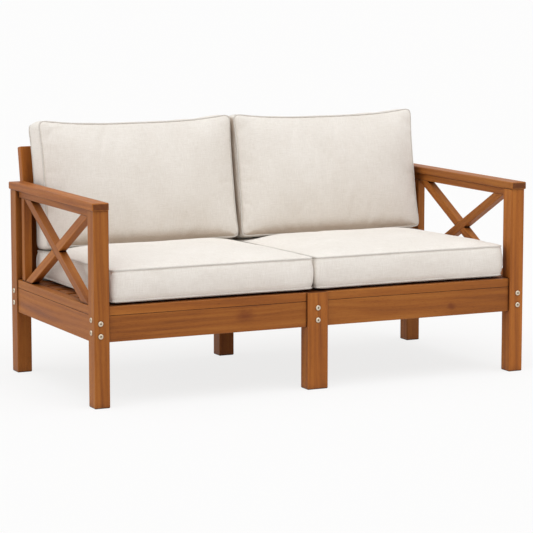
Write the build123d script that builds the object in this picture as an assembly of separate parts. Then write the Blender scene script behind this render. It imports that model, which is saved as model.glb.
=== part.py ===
from build123d import *
from math import atan2, cos, radians, sin, tan
import os

# Two-seat patio loveseat. Lengths are millimetres, +X is the sitter's left-to-right as seen
# from the front, -Y is the front, +Z is up, and the feet stand on Z = 0.

# Overall frame
frame_width = 1400.0
frame_depth = 682.0
leg_side = 46.0
front_centre_leg_width = 66.0
rear_centre_leg_width = 50.0
ease = 1.6
foot_ease = 2.0

# Armrests
arm_top = 580.0
arm_thickness = 22.0
arm_overhang = 4.0
arm_ease = 2.4
leg_tenon_side = 24.0
leg_tenon_height = 10.0
tenon_clearance = 0.2
mortise_end_clearance = 0.6

# Seat frame: a square seat rail lies on a deeper apron, both set back from the legs
seat_top = 286.0
seat_rail_height = 25.0
apron_height = 75.0
rail_thickness = 30.0
front_recess = 8.0
side_recess = 4.0
rear_recess = 8.0
rail_ease = 1.2

# Cross-lapped side panels
panel_recess = 10.0
panel_thickness = 24.0
under_arm_rail_height = 22.0
stile_depth = 23.0
stile_leg_gap = 24.0
brace_width = 27.0
brace_leg_gap = 22.0
brace_ease = 1.2
lap_clearance = 0.1

# Seat platform
bearer_width = 40.0
slat_count = 7
slat_width = 62.0
slat_thickness = 15.0
slat_leg_gap = 5.0
slat_end_gap = 1.0
slat_ease = 2.0
cleat_width = 20.0
cleat_height = 26.0
cleat_end_gap = 12.0

# Leaning slatted back
back_lean = 10.0
post_width = 46.0
post_thickness = 28.0
post_length = 403.0
post_ease = 2.0
back_slat_count = 4
back_slat_width = 60.0
back_slat_thickness = 18.0
back_slat_foot = 64.0
back_slat_head = 10.0
back_slat_shoulder = 5.0
back_tenon_length = 12.0

# Connector bolts and barrel nuts. They and their holes are many-sided, as there are so many
bar_sides = 8
head_sides = 12
bolt_diameter = 6.0
bolt_head_diameter = 15.0
bolt_head_height = 2.6
bolt_head_ease = 1.0
socket_width = 5.0
socket_depth = 1.6
bolt_hole_clearance = 0.35
nut_diameter = 10.0
nut_length = 16.0
nut_setback = 32.0
nut_hole_clearance = 0.25
nut_thread_clearance = 0.15
bolt_end_length = 2.0
bolt_spacing = 36.0
end_bolt_height = 205.0
side_bolt_rise = 9.0
post_bolt_length = 66.0
post_bolt_foot = 17.0
post_bolt_spacing = 28.0

# Loose cushions
cushion_gap = 2.0
cushion_leg_gap = 11.0
seat_cushion_rear_gap = 12.0
seat_cushion_setback = 16.0
seat_cushion_band = 88.0
seat_cushion_crown = 31.0
seat_cushion_under = 9.7
seat_cushion_taper = 12.3
seat_cushion_lift = 0.3
seat_side_run = 150.0
seat_front_run = 140.0
seat_rear_run = 380.0
seat_edge_dip = 7.0
band_dip = 3.0
under_run = 60.0
back_cushion_height = 381.0
back_cushion_band = 88.0
back_cushion_front_crown = 38.0
back_cushion_slat_gap = 0.35
back_cushion_rear_crown = 40.0
back_cushion_lift = 87.2
back_side_run = 150.0
back_top_run = 130.0
back_bottom_run = 120.0
back_side_dip = 10.0
back_top_dip = 18.0
back_bottom_dip = 0.5

# A crown rises from the seam in rings: share of its height, share of its run
crown_ring_shares = ((0.20, 0.05), (0.38, 0.12), (0.56, 0.22), (0.73, 0.36), (0.88, 0.60),
                     (1.0, 1.0))
# The underside of a seat cushion is nearly flat where it lies on the slats
under_ring_shares = ((1.0, 0.40),)
# A side is drawn in between its corners: share of its length, share of its dip
side_shares = ((0.0, 0.0), (0.33, 1.0), (0.67, 1.0))
half_share = 0.5

# Places worked out from the sizes above
half_width = frame_width / 2
leg_top = arm_top - arm_thickness
arm_inner = half_width - leg_side
apron_bottom = seat_top - seat_rail_height - apron_height
seat_rail_bottom = seat_top - seat_rail_height
side_rail_outer = half_width - side_recess
side_rail_inner = side_rail_outer - rail_thickness
panel_outer = half_width - panel_recess
panel_inner = panel_outer - panel_thickness
panel_top = leg_top - under_arm_rail_height
rear_leg_front = frame_depth - leg_side
rear_rail_rear = frame_depth - rear_recess
rear_rail_front = rear_rail_rear - rail_thickness
slat_bottom = seat_top - slat_thickness
cushion_width = arm_inner - cushion_leg_gap - cushion_gap / 2
seat_cushion_depth = rear_rail_front - seat_cushion_rear_gap - seat_cushion_setback
lean = radians(back_lean)
post_rear_reach = (post_length - ease) * sin(lean) + post_thickness * cos(lean)
front_reach = -arm_overhang
rear_reach = max(frame_depth + arm_overhang, rear_rail_front + post_rear_reach)
# The whole part is shifted so that its box is centred on X = 0, Y = 0
centre_shift = -(front_reach + rear_reach) / 2


def board(x, y, z, along, bevel):
    """A straight board between three pairs of limits with its long edges eased."""
    size = (x[1] - x[0], y[1] - y[0], z[1] - z[0])
    middle = ((x[0] + x[1]) / 2, (y[0] + y[1]) / 2, (z[0] + z[1]) / 2)
    body = Pos(*middle) * Box(*size)
    return chamfer(body.edges().filter_by(along), bevel)


def mirrored(body):
    """The same piece for the other side of the loveseat."""
    return mirror(body, about=Plane.YZ)


def end_bolt_heights():
    return (end_bolt_height, end_bolt_height + bolt_spacing)


def side_bolt_heights():
    return tuple(height + side_bolt_rise for height in end_bolt_heights())


def bolt_places():
    """Each connector bolt as the point under its head, its way in, and its nut's way out."""
    places = []
    rail_middle = rail_thickness / 2
    for end, way in ((0, 1), (frame_depth, -1)):
        for height in end_bolt_heights():
            places.append(((0, end, height), (0, way, 0), (1, 0, 0)))
            for side in (-1, 1):
                across = side * (side_rail_outer - rail_middle)
                places.append(((across, end, height), (0, way, 0), (-side, 0, 0)))
        inset = front_recess + rail_middle if way > 0 else rear_rail_rear - rail_middle
        for height in side_bolt_heights():
            for side in (-1, 1):
                places.append(((side * half_width, inset, height), (-side, 0, 0), (0, way, 0)))
    return places


def bar_from(point, way, radius, length):
    """A many-sided bar that starts at a point and runs one way."""
    return Plane(origin=point, z_dir=way) * extrude(RegularPolygon(radius, bar_sides), length)


def bolt_holes():
    """Clearance holes for the bolts and cross holes for their barrel nuts."""
    holes = []
    bolt_length = leg_side + nut_setback + nut_diameter / 2 + bolt_end_length
    for point, way, nut_way in bolt_places():
        radius = bolt_diameter / 2 + bolt_hole_clearance
        holes.append(bar_from(point, way, radius, bolt_length + bolt_end_length))
        centre = nut_centre(point, way)
        start = tuple(c - w * (nut_length / 2 + nut_hole_clearance)
                      for c, w in zip(centre, nut_way))
        radius = nut_diameter / 2 + nut_hole_clearance
        holes.append(bar_from(start, nut_way, radius, nut_length + rail_thickness))
    return holes


def nut_centre(point, way):
    return tuple(p + w * (leg_side + nut_setback) for p, w in zip(point, way))


def drilled(body, holes):
    """A frame piece with every bolt or nut hole that reaches into it."""
    box = body.bounding_box()
    for hole in holes:
        reach = hole.bounding_box()
        low = max(reach.min.X - box.max.X, reach.min.Y - box.max.Y, reach.min.Z - box.max.Z)
        high = max(box.min.X - reach.max.X, box.min.Y - reach.max.Y, box.min.Z - reach.max.Z)
        if max(low, high) < 0:
            body -= hole
    return body


def connector_bolt(length):
    """A flat-headed furniture bolt, head under Z = 0 outwards, shank along +Z."""
    head = extrude(RegularPolygon(bolt_head_diameter / 2, head_sides), -bolt_head_height)
    head = chamfer(head.edges().group_by(Axis.Z)[0], bolt_head_ease)
    socket = extrude(RegularPolygon(socket_width / 2, 6, major_radius=False), socket_depth)
    head -= Pos(0, 0, -bolt_head_height) * socket
    return head + bar_from((0, 0, 0), (0, 0, 1), bolt_diameter / 2, length)


def connector_bolts():
    length = leg_side + nut_setback + nut_diameter / 2 + bolt_end_length
    bolt = connector_bolt(length)
    return [Plane(origin=point, z_dir=way) * bolt for point, way, nut_way in bolt_places()]


def barrel_nuts():
    nuts = []
    for point, way, nut_way in bolt_places():
        centre = nut_centre(point, way)
        end = tuple(c - w * nut_length / 2 for c, w in zip(centre, nut_way))
        nut = bar_from(end, nut_way, nut_diameter / 2, nut_length)
        start = tuple(c - w * nut_diameter for c, w in zip(centre, way))
        radius = bolt_diameter / 2 + nut_thread_clearance
        nuts.append(nut - bar_from(start, way, radius, 2 * nut_diameter))
    return nuts


def corner_leg(y_front):
    """A left corner leg with the stub tenon that enters the armrest."""
    x = (-half_width, -arm_inner)
    leg = board(x, (y_front, y_front + leg_side), (0, leg_top), Axis.Z, ease)
    leg = chamfer(leg.faces().sort_by(Axis.Z)[0].edges(), foot_ease)
    middle = ((x[0] + x[1]) / 2, y_front + leg_side / 2, leg_top + leg_tenon_height / 2)
    return leg + Pos(*middle) * Box(leg_tenon_side, leg_tenon_side, leg_tenon_height)


def centre_leg(width, y_front):
    half = width / 2
    leg = board((-half, half), (y_front, y_front + leg_side), (0, seat_top), Axis.Z, ease)
    return chamfer(leg.faces().sort_by(Axis.Z)[0].edges(), foot_ease)


def armrest():
    """The left armrest, housed over both leg tenons."""
    y = (front_reach, frame_depth + arm_overhang)
    x = (-half_width - arm_overhang, -arm_inner)
    size = (x[1] - x[0], y[1] - y[0], arm_thickness)
    middle = ((x[0] + x[1]) / 2, (y[0] + y[1]) / 2, leg_top + arm_thickness / 2)
    arm = Pos(*middle) * Box(*size)
    arm = chamfer(arm.edges(), arm_ease)
    side = leg_tenon_side + 2 * tenon_clearance
    depth = leg_tenon_height + mortise_end_clearance
    for y_middle in (leg_side / 2, frame_depth - leg_side / 2):
        place = Pos(-half_width + leg_side / 2, y_middle, leg_top + depth / 2)
        arm -= place * Box(side, side, depth)
    return arm


def under_arm_rail():
    x = (-panel_outer, -panel_inner)
    return board(x, (leg_side, rear_leg_front), (panel_top, leg_top), Axis.Y, brace_ease)


def panel_stile():
    rear = rear_leg_front - stile_leg_gap
    x = (-panel_outer, -panel_inner)
    return board(x, (rear - stile_depth, rear), (seat_top, panel_top), Axis.Z, brace_ease)


def brace_ends():
    """Where the two braces' axes meet the rails, front and rear, and half their cut length."""
    front = leg_side + brace_leg_gap
    rear = rear_leg_front - stile_leg_gap - stile_depth
    rise = panel_top - seat_top
    half_cut = brace_width / 2
    for step in range(6):
        slope = atan2(rise, rear - front - 2 * half_cut)
        half_cut = brace_width / 2 / sin(slope)
    return front + half_cut, rear - half_cut, half_cut


def brace_outline(low, high, half_cut):
    points = ((low - half_cut, seat_top), (low + half_cut, seat_top),
              (high + half_cut, panel_top), (high - half_cut, panel_top))
    return Plane.YZ * make_face(Polyline(*points, close=True))


def brace(low, high, half_cut):
    outline = brace_outline(low, high, half_cut)
    body = Pos(-panel_outer, 0, 0) * extrude(outline, panel_thickness)
    long_edges = [edge for edge in body.edges() if edge.length > panel_top - seat_top]
    return chamfer(long_edges, brace_ease)


def cross_braces():
    """The rising and falling brace, half-lapped where they cross."""
    front, rear, half_cut = brace_ends()
    rising = brace(front, rear, half_cut)
    falling = brace(rear, front, half_cut)
    half_depth = panel_thickness / 2
    wide = half_cut + lap_clearance
    inner = Pos(-panel_outer + half_depth, 0, 0)
    outer = Pos(-panel_outer - half_depth, 0, 0)
    rising -= inner * extrude(brace_outline(rear, front, wide), 2 * half_depth)
    falling -= outer * extrude(brace_outline(front, rear, wide), 2 * half_depth + lap_clearance)
    return rising, falling


def side_rails():
    """The left seat rail and the apron below it, between the legs."""
    x = (-side_rail_outer, -side_rail_inner)
    y = (leg_side, rear_leg_front)
    rail = board(x, y, (seat_rail_bottom, seat_top), Axis.Y, rail_ease)
    apron = board(x, y, (apron_bottom, seat_rail_bottom), Axis.Y, rail_ease)
    return rail, apron


def front_rails():
    """The left front seat rail and apron, from the corner leg to the centre leg."""
    x = (-arm_inner, -front_centre_leg_width / 2)
    y = (front_recess, front_recess + rail_thickness)
    rail = board(x, y, (seat_rail_bottom, seat_top), Axis.X, rail_ease)
    apron = board(x, y, (apron_bottom, seat_rail_bottom), Axis.X, rail_ease)
    return rail, apron


def rear_apron():
    x = (-arm_inner, -rear_centre_leg_width / 2)
    return board(x, (rear_rail_front, rear_rail_rear), (apron_bottom, seat_top), Axis.X, rail_ease)


def centre_bearer():
    half = bearer_width / 2
    y = (leg_side, rear_leg_front)
    return board((-half, half), y, (apron_bottom, slat_bottom), Axis.Y, rail_ease)


def slat_cleat():
    """The strip inside the left apron that carries the slat ends."""
    x = (-side_rail_inner, -side_rail_inner + cleat_width)
    y = (leg_side + cleat_end_gap, rear_leg_front - cleat_end_gap)
    return board(x, y, (slat_bottom - cleat_height, slat_bottom), Axis.Y, rail_ease)


def seat_slats():
    """Full-length slats, evenly spread between the front and rear legs."""
    first = leg_side + slat_leg_gap
    last = rear_leg_front - slat_leg_gap - slat_width
    half = side_rail_inner - slat_end_gap
    slats = []
    for index in range(slat_count):
        y = first + (last - first) * index / (slat_count - 1)
        slats.append(board((-half, half), (y, y + slat_width), (slat_bottom, seat_top),
                           Axis.X, slat_ease))
    return slats


def back_plane(across):
    """The leaning plane of the back's front face: X across, Y up the lean, Z rearward."""
    return Plane(origin=(across, rear_rail_front, seat_top), x_dir=(-1, 0, 0),
                 z_dir=(0, cos(lean), -sin(lean)))


def post_blank(across):
    """A post that leans back, mitred level at its foot so it stands on the rear apron."""
    drop = post_thickness * tan(lean)
    size = (post_width, post_length + drop, post_thickness)
    blank = Pos(0, (post_length - drop) / 2, post_thickness / 2) * Box(*size)
    blank = chamfer(blank.edges().filter_by(Axis.Y), post_ease)
    blank = chamfer(blank.faces().sort_by(Axis.Y)[-1].edges(), ease)
    post = back_plane(across) * blank
    reach = post_length + post_thickness
    below = Pos(across, rear_rail_front, seat_top - reach / 2) * Box(reach, reach, reach)
    return post - below


def back_slat_rows():
    """How far up the lean each back slat starts."""
    free = post_length - back_slat_foot - back_slat_head - back_slat_count * back_slat_width
    step = back_slat_width + free / (back_slat_count - 1)
    return [back_slat_foot + index * step for index in range(back_slat_count)]


def outer_post_middle():
    return arm_inner - post_width / 2


def back_slat(low):
    """A left back slat with a stub tenon at each end."""
    right = outer_post_middle() - post_width / 2
    left = post_width / 2
    length = right - left
    middle = (right + left) / 2
    size = (length, back_slat_width, back_slat_thickness)
    slat = Pos(0, low + back_slat_width / 2, back_slat_thickness / 2) * Box(*size)
    slat = chamfer(slat.edges().filter_by(Axis.X), slat_ease)
    tenon = tenon_box(length + 2 * back_tenon_length, 0)
    slat += Pos(0, low + back_slat_width / 2, back_slat_thickness / 2) * tenon
    return back_plane(-middle) * slat


def tenon_box(length, clearance):
    """The stub tenon of a back slat, or the mortise for it with a clearance."""
    shoulder = 2 * back_slat_shoulder
    width = back_slat_width - shoulder + 2 * clearance
    return Box(length, width, back_slat_thickness - shoulder + 2 * clearance)


def back_post(across, sides):
    """A post with a blind mortise for each slat on the sides that carry slats."""
    post = post_blank(across)
    depth = back_tenon_length + mortise_end_clearance
    for low in back_slat_rows():
        for side in sides:
            place = Pos(side * (post_width / 2 - depth / 2), low + back_slat_width / 2,
                        back_slat_thickness / 2)
            post -= back_plane(across) * place * tenon_box(depth, tenon_clearance)
    return post


def post_bolt_places():
    """Bolts from inside each outer post into the corner leg beside it."""
    places = []
    for side in (-1, 1):
        inner = side * (arm_inner - post_width)
        for row in range(2):
            up = post_bolt_foot + row * post_bolt_spacing
            y = rear_rail_front + up * sin(lean) + post_thickness / 2 * cos(lean)
            z = seat_top + up * cos(lean) - post_thickness / 2 * sin(lean)
            places.append(((inner, y, z), (side, 0, 0)))
    return places


def post_bolts():
    bolt = connector_bolt(post_bolt_length)
    return [Plane(origin=point, z_dir=way) * bolt for point, way in post_bolt_places()]


def post_bolt_holes():
    radius = bolt_diameter / 2 + bolt_hole_clearance
    length = post_bolt_length + bolt_end_length
    return [bar_from(point, way, radius, length) for point, way in post_bolt_places()]


def ring(half, low, high, dips, level, fall):
    """One closed section of a cushion, with each side drawn in between its corners."""
    corners = [(-half, low), (half, low), (half, high), (-half, high)]
    inward = [(0, 1), (-1, 0), (0, -1), (1, 0)]
    side_dip, low_dip, high_dip = dips
    points = []
    for index, dip in enumerate((low_dip, side_dip, high_dip, side_dip)):
        (x, y), (next_x, next_y) = corners[index], corners[(index + 1) % 4]
        for along, drawn in side_shares:
            across = x + (next_x - x) * along + inward[index][0] * dip * drawn
            up = y + (next_y - y) * along + inward[index][1] * dip * drawn
            points.append((across, up, level - fall * up))
    return Wire.make_polygon(points)


def crown_rings(rows, half, length, runs, dips, level, height, fall):
    """The rings from a seam to the top of a crown, each drawn in by a share of its run."""
    side_dip, low_dip, high_dip = dips
    rings = []
    for rise_share, run_share in rows:
        side, low, high = (run * run_share for run in runs)
        narrower = (half - side) / half
        shorter = (length - low - high) / length
        own_dips = (side_dip * shorter, low_dip * narrower, high_dip * narrower)
        rings.append(ring(half - side, low, length - high, own_dips,
                          level + height * rise_share, fall))
    return rings


def seat_cushion():
    """A seat cushion at the origin: crowned top, flatter underside, sides drawn in."""
    half = cushion_width / 2
    deep = seat_cushion_depth
    fall = seat_cushion_taper / seat_cushion_depth
    dips = (seat_edge_dip, seat_edge_dip, seat_edge_dip)
    under_runs = (under_run, under_run, under_run)
    top_runs = (seat_side_run, seat_front_run, seat_rear_run)
    low_seam = seat_cushion_under
    top_seam = seat_cushion_under + seat_cushion_band
    middle = low_seam + seat_cushion_band / 2
    inset = band_dip
    under = crown_rings(under_ring_shares, half, deep, under_runs, dips, low_seam,
                        -seat_cushion_under, 0)
    band = [ring(half, 0, deep, dips, low_seam, 0),
            ring(half - inset, inset, deep - inset, dips, middle, fall * half_share),
            ring(half, 0, deep, dips, top_seam, fall)]
    crown = crown_rings(crown_ring_shares, half, deep, top_runs, dips, top_seam,
                        seat_cushion_crown, fall)
    return Solid.make_loft(under[::-1] + band + crown, True)


def back_cushion():
    """A back cushion in the back's leaning plane, its rear crown towards +Z."""
    half = cushion_width / 2
    tall = back_cushion_height
    dips = (back_side_dip, back_bottom_dip, back_top_dip)
    runs = (back_side_run, back_bottom_run, back_top_run)
    front_seam = -back_cushion_band - back_cushion_rear_crown
    rear_seam = -back_cushion_rear_crown
    middle = (front_seam + rear_seam) / 2
    inset = band_dip
    front = crown_rings(crown_ring_shares, half, tall, runs, dips, front_seam,
                        -back_cushion_front_crown, 0)
    band = [ring(half, 0, tall, dips, front_seam, 0),
            ring(half - inset, inset, tall - inset, dips, middle, 0),
            ring(half, 0, tall, dips, rear_seam, 0)]
    rear = crown_rings(crown_ring_shares, half, tall, runs, dips, rear_seam,
                       back_cushion_rear_crown, 0)
    return Solid.make_loft(front[::-1] + band + rear, True)


def place_seat_cushion(side):
    across = side * (cushion_width + cushion_gap) / 2
    place = Pos(across, seat_cushion_setback, seat_top + seat_cushion_lift)
    return place * seat_cushion()


def place_back_cushion(side):
    across = side * (cushion_width + cushion_gap) / 2
    place = Pos(0, back_cushion_lift, -back_cushion_slat_gap)
    return back_plane(across) * place * back_cushion()


def model():
    """Every piece of the loveseat under the name of its node."""
    holes = bolt_holes()
    post_holes = post_bolt_holes()
    nodes = {}

    def pair(name, left, holes_for=()):
        """Keep a left piece and its mirror image, each with the holes that reach it."""
        nodes[name + "_left"] = drilled(left, holes_for)
        nodes[name + "_right"] = drilled(mirrored(left), holes_for)

    pair("front_leg", corner_leg(0), holes)
    pair("rear_leg", corner_leg(rear_leg_front), holes + post_holes)
    nodes["front_leg_centre"] = drilled(centre_leg(front_centre_leg_width, 0), holes)
    nodes["rear_leg_centre"] = drilled(centre_leg(rear_centre_leg_width, rear_leg_front), holes)
    pair("armrest", armrest())
    pair("under_arm_rail", under_arm_rail())
    pair("panel_stile", panel_stile())
    rising, falling = cross_braces()
    pair("rising_brace", rising)
    pair("falling_brace", falling)
    rail, apron = side_rails()
    pair("side_seat_rail", rail)
    pair("side_apron", apron, holes)
    rail, apron = front_rails()
    pair("front_seat_rail", rail)
    pair("front_apron", apron, holes)
    pair("rear_apron", rear_apron(), holes)
    nodes["centre_bearer"] = drilled(centre_bearer(), holes)
    pair("slat_cleat", slat_cleat(), holes)
    for index, slat in enumerate(seat_slats(), start=1):
        nodes[f"seat_slat_{index}"] = slat
    middle = outer_post_middle()
    nodes["back_post_left"] = drilled(back_post(-middle, (-1,)), post_holes)
    nodes["back_post_centre"] = back_post(0, (-1, 1))
    nodes["back_post_right"] = drilled(back_post(middle, (1,)), post_holes)
    for index, low in enumerate(back_slat_rows(), start=1):
        slat = back_slat(low)
        nodes[f"back_slat_left_{index}"] = slat
        nodes[f"back_slat_right_{index}"] = mirrored(slat)
    for side, word in ((-1, "left"), (1, "right")):
        nodes[f"seat_cushion_{word}"] = place_seat_cushion(side)
        nodes[f"back_cushion_{word}"] = place_back_cushion(side)
    nodes["connector_bolts"] = Compound(children=connector_bolts())
    nodes["barrel_nuts"] = Compound(children=barrel_nuts())
    nodes["back_post_bolts"] = Compound(children=post_bolts())
    return nodes


def centred(shape):
    """The piece in the part's own frame, with fasteners of one node as separate solids."""
    solids = [Pos(0, centre_shift, 0) * solid for solid in shape.solids()]
    return solids[0] if len(solids) == 1 else Compound(children=solids)


os.makedirs("parts", exist_ok=True)
for node_name, shape in model().items():
    export_step(centred(shape), f"parts/{node_name}.step")
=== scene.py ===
import random
from collections import namedtuple
from math import cos, exp, hypot, pi, radians, sin

import bmesh
import bpy
from mathutils import Euler, Matrix, Vector, noise


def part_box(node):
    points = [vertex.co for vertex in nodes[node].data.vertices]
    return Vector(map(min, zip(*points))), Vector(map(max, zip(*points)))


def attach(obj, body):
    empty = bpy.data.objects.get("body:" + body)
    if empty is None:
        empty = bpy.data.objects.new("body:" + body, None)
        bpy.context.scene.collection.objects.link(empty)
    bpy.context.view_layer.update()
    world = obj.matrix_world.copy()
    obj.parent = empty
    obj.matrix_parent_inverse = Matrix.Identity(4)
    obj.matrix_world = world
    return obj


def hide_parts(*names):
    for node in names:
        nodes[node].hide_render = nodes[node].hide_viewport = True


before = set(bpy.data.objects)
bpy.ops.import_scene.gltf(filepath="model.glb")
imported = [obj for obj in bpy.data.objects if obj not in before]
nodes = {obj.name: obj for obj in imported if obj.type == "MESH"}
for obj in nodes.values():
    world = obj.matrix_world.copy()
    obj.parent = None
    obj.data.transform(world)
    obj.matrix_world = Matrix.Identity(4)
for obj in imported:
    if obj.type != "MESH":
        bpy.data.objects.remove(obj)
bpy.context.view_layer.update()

scene = bpy.context.scene

# Sizes shared with the part's source, in metres. Depths run back from the front legs' faces, and
# CENTRE_SHIFT brings them to the part's own frame, where Y is 0 in the middle of its box.
CENTRE_SHIFT = -0.368638
SEAT_TOP = 0.286
REAR_RAIL_FRONT = 0.644
LEAN = radians(10.0)
BRACE_SLOPE = radians(28.3)
FRAME_DEPTH = 0.682
HALF_WIDTH = 0.700
SIDE_BOLT_ACROSS = 0.681
END_BOLT_INSET = 0.023
POST_INNER = 0.608
POST_THICKNESS = 0.028
BOLT_HEIGHTS = (0.205, 0.241)
# How much higher the bolts of a leg's side lie than those of its end
SIDE_BOLT_RISE = 0.009
# How far up the lean the bolts of an outer back post lie
POST_BOLT_ROWS = (0.017, 0.045)

# Node helpers

# The rays of one test of how open a surface lies. Names with SHARES in them hold how open it is
# where its painted shade starts, and where the painted shade is full.
SHADE_SAMPLES = 6


def empty_material(name):
    """A material without nodes, and its node tree."""
    material = bpy.data.materials.new(name)
    material.use_nodes = True
    material.node_tree.nodes.clear()
    return material, material.node_tree


def make(tree, kind, inputs=None, **settings):
    """A node with its settings and its inputs, each a value or the socket that feeds it."""
    made = tree.nodes.new(kind)
    for name, value in settings.items():
        setattr(made, name, value)
    for name, value in (inputs or {}).items():
        if isinstance(value, bpy.types.NodeSocket):
            tree.links.new(value, made.inputs[name])
        else:
            made.inputs[name].default_value = value
    return made


def link_math(tree, operation, first, second):
    return make(tree, "ShaderNodeMath", {0: first, 1: second}, operation=operation).outputs[0]


def weighted(tree, parts):
    """The sum of some values, each times its weight."""
    total = link_math(tree, "MULTIPLY", *parts[0])
    for value, weight in parts[1:]:
        total = link_math(tree, "ADD", total, link_math(tree, "MULTIPLY", value, weight))
    return total


def scaled(tree, vector, amounts):
    return make(tree, "ShaderNodeVectorMath", {0: vector, 1: amounts},
                operation="MULTIPLY").outputs[0]


def ramp(tree, factor, stops):
    """A colour ramp. Each stop is its position and its colour."""
    made = make(tree, "ShaderNodeValToRGB", {"Fac": factor})
    elements = made.color_ramp.elements
    while len(elements) < len(stops):
        elements.new(0.5)
    for element, (position, colour) in zip(elements, stops):
        element.position = position
        element.color = (*colour, 1.0)
    return made.outputs["Color"]


def steps(tree, factor, low, high):
    """0 at low, 1 at high and smooth between them."""
    made = make(tree, "ShaderNodeMapRange", {"Value": factor, "From Min": low, "From Max": high},
                interpolation_type="SMOOTHSTEP")
    return made.outputs["Result"]


def blended(tree, kind, factor, first, second):
    """Two colours blended, the second by that factor."""
    return make(tree, "ShaderNodeMix", {0: factor, 6: first, 7: second}, data_type="RGBA",
                blend_type=kind).outputs[2]


def noise_value(tree, vector, scale, detail=2.0, roughness=0.5):
    made = make(tree, "ShaderNodeTexNoise",
                {"Vector": vector, "Scale": scale, "Detail": detail, "Roughness": roughness})
    return made.outputs["Fac"]


def placed_coordinates(tree, turn, shift):
    """Object coordinates, turned and then shifted."""
    coordinates = make(tree, "ShaderNodeTexCoord").outputs["Object"]
    made = make(tree, "ShaderNodeMapping",
                {"Vector": coordinates, "Rotation": turn, "Location": shift})
    return made.outputs["Vector"]


def shut_in(tree, reach, shares):
    """1 where things within reach shut a surface in, and 0 where it lies open."""
    found = make(tree, "ShaderNodeAmbientOcclusion", {"Distance": reach},
                 samples=SHADE_SAMPLES)
    return steps(tree, found.outputs["AO"], *shares)


def seen_directly(tree):
    """1 on rays that come straight from the camera, a mirror or glass."""
    path = tree.nodes.new("ShaderNodeLightPath")
    rays = [path.outputs[f"Is {kind} Ray"] for kind in ("Camera", "Glossy", "Transmission")]
    either = rays[0]
    for ray in rays[1:]:
        either = link_math(tree, "MAXIMUM", either, ray)
    return either


def linked(name, data):
    """A new object in the scene."""
    made = bpy.data.objects.new(name, data)
    scene.collection.objects.link(made)
    return made


# Pieces

SHARP_EDGE = radians(35)


def piece_from(name, mesh):
    """A shown object from a bmesh, smooth but for its sharp edges."""
    for face in mesh.faces:
        face.smooth = True
    for edge in mesh.edges:
        if len(edge.link_faces) == 2 and edge.calc_face_angle() > SHARP_EDGE:
            edge.smooth = False
    data = bpy.data.meshes.new(name)
    mesh.to_mesh(data)
    mesh.free()
    return linked(name, data)


def finish_piece(piece, node, body):
    """Its body, and the node that it stands for, if there is one."""
    if node:
        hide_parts(node)
    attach(piece, body)


# Camera, light and floor

SENSOR_WIDTH = 36.0
FOCAL_LENGTH = 156.70
VIEW_END = 500.0
CAMERA_PLACE = (-3.04648, -5.95356, 1.27537)
# How far the camera looks down, and its turn about Z, in radians
CAMERA_DROP = 0.135653
CAMERA_TURN = -0.45044
# Each sun's strength, spread in degrees, aim and tint
SUNS = {
    "key": (2.02, 60.0, (0.05, 0.3, -1.0), (0.963, 1.005, 1.073)),
    "left": (0.85, 80.0, (1.0, 0.12, -0.40), (0.945, 1.033, 1.085)),
    "right": (0.40, 80.0, (-1.0, 0.35, -0.45), (0.945, 1.033, 1.085)),
}
WORLD_LIGHT = 0.455
WORLD_TINT = (1.0, 0.975, 0.935, 1.0)
FLOOR_WHITE = (0.83, 0.803, 0.793, 1.0)
FLOOR_GLOW = 0.82
FLOOR_REACH = 120.0
BACKDROP_WHITE = (0.975, 0.975, 0.97, 1.0)


def add_camera():
    """The photograph's viewpoint: in front of the part, to its left and a little above it."""
    data = bpy.data.cameras.new("camera")
    data.sensor_width = SENSOR_WIDTH
    data.lens = FOCAL_LENGTH
    data.clip_end = VIEW_END
    camera = linked("camera", data)
    camera.location = Vector(CAMERA_PLACE) + Vector((0, CENTRE_SHIFT, 0))
    camera.rotation_euler = (pi / 2 - CAMERA_DROP, 0.0, CAMERA_TURN)
    scene.camera = camera


def add_world():
    """An even light, and a plain white backdrop for the rays that see it directly."""
    world = bpy.data.worlds.new("studio")
    world.use_nodes = True
    scene.world = world
    tree = world.node_tree
    tree.nodes.clear()
    light = make(tree, "ShaderNodeBackground", {"Color": WORLD_TINT, "Strength": WORLD_LIGHT})
    shown = make(tree, "ShaderNodeBackground", {"Color": BACKDROP_WHITE, "Strength": 1.0})
    mixed = make(tree, "ShaderNodeMixShader", {0: seen_directly(tree), 1: light.outputs[0],
                                               2: shown.outputs[0]})
    make(tree, "ShaderNodeOutputWorld", {"Surface": mixed.outputs[0]})


def add_floor():
    """A plain pale floor. It glows for direct rays, but not so much that the shadow is lost."""
    mesh = bpy.data.meshes.new("floor")
    far = FLOOR_REACH
    mesh.from_pydata([(-far, -far, 0), (far, -far, 0), (far, far, 0), (-far, far, 0)], [],
                     [(0, 1, 2, 3)])
    floor = linked("floor", mesh)
    material, tree = empty_material("floor")
    shader = make(tree, "ShaderNodeBsdfDiffuse", {"Color": FLOOR_WHITE, "Roughness": 0.0})
    glow = make(tree, "ShaderNodeEmission", {"Color": BACKDROP_WHITE, "Strength": 1.0})
    share = link_math(tree, "MULTIPLY", seen_directly(tree), FLOOR_GLOW)
    mixed = make(tree, "ShaderNodeMixShader", {0: share, 1: shader.outputs[0],
                                               2: glow.outputs[0]})
    make(tree, "ShaderNodeOutputMaterial", {"Surface": mixed.outputs[0]})
    mesh.materials.append(material)


def add_sun(name, strength, spread, aim, tint):
    """A soft sun, because its light doesn't fall off over the floor."""
    data = bpy.data.lights.new(name, "SUN")
    data.energy = strength
    data.color = tint
    data.angle = radians(spread)
    lamp = linked(name, data)
    lamp.rotation_euler = Vector(aim).to_track_quat("-Z", "Y").to_euler()


# Wood

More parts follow.
